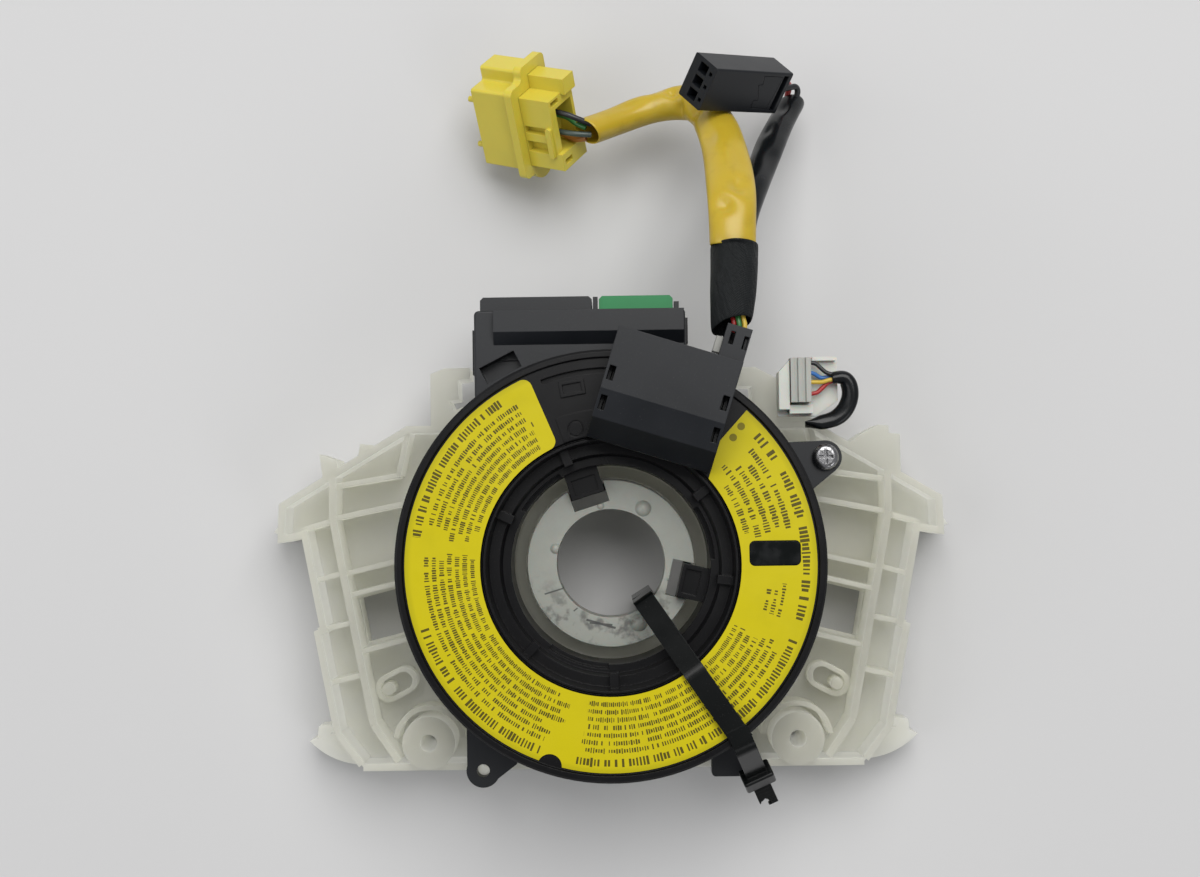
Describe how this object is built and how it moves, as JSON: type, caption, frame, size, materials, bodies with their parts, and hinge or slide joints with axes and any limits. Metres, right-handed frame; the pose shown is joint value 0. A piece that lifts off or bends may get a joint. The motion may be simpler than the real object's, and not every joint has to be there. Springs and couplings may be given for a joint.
{
  "type": "steering clock spring",
  "caption": "Steering column clock spring: flat round rotor with a sticker and two sleeved pigtails, turning in a fixed case on a ribbed column bracket, held by a strap.",
  "frame": {"origin": "on the steering axis, in the plane of the column bracket's back edges, which is what the part lies on", "axes": "+Z along the steering axis towards the driver, +X to the side of the screwed ear, +Y up the dashboard towards the connector box and the pigtails"},
  "size_m": [0.1792, 0.1966, 0.063],
  "materials": {
    "natural_plastic": "natural unfilled nylon, milky and slightly see-through",
    "black_plastic": "black moulded plastic, satin",
    "green_plastic": "green moulded plastic",
    "brown_plastic": "brown insulator",
    "tinned_brass": "tinned pins",
    "zinc_steel": "dark zinc-plated screw",
    "ribbon_film": "copper tracks in film",
    "clear_white_plastic": "translucent white plastic",
    "white_plastic": "white acetal",
    "black_vinyl": "soft black vinyl sleeve",
    "yellow_vinyl": "soft yellow vinyl sleeve",
    "black_nylon": "black nylon strap",
    "yellow_label": "printed yellow film label",
    "smoked_window": "smoked window film",
    "black_tape": "black cloth tape",
    "yellow_plastic": "pale yellow moulded plastic",
    "wire_black": "insulated wire",
    "wire_blue": "insulated wire",
    "wire_yellow": "insulated wire",
    "wire_red": "insulated wire",
    "wire_green": "insulated wire",
    "wire_grey": "insulated wire",
    "wire_orange": "insulated wire"
  },
  "bodies": {
    "bracket": {"column_bracket": "natural_plastic", "stator_case": "black_plastic", "stator_back_cover": "black_plastic", "black_socket": "black_plastic", "green_socket": "green_plastic", "socket_pins": "tinned_brass", "terminal_block": "brown_plastic", "ear_screw": "zinc_steel", "ribbon_cable": "ribbon_film", "sensor_socket": "clear_white_plastic", "sensor_plug": "white_plastic", "sensor_sleeve": "black_vinyl", "transport_strap": "black_nylon", "sensor_wire_black": "wire_black", "sensor_wire_blue": "wire_blue", "sensor_wire_yellow": "wire_yellow", "sensor_wire_red": "wire_red"},
    "rotor": {"rotor": "black_plastic", "rotor_label": "yellow_label", "neutral_window": "smoked_window", "cancel_cam": "white_plastic", "block_cover": "black_plastic", "joint_block": "brown_plastic", "neck_clip": "clear_white_plastic", "neck_wire_red": "wire_red", "neck_wire_green": "wire_green", "neck_wire_yellow": "wire_yellow", "tape_wrap": "black_tape", "airbag_sleeve": "yellow_vinyl", "switch_sleeve": "black_vinyl", "airbag_connector_shell": "yellow_plastic", "airbag_connector_insert": "yellow_plastic", "airbag_wire_black": "wire_black", "airbag_wire_green": "wire_green", "airbag_wire_grey": "wire_grey", "airbag_wire_orange": "wire_orange", "switch_connector": "black_plastic", "switch_connector_retainer": "black_plastic", "switch_wire_red": "wire_red", "switch_wire_black": "wire_black"}
  },
  "joints": [
    {"name": "rotor_turn", "type": "hinge", "parent": "bracket", "child": "rotor", "pos_m": [0, 0, 0], "axis": [0, 0, 1], "range_deg": [-85, 195]}
  ]
}
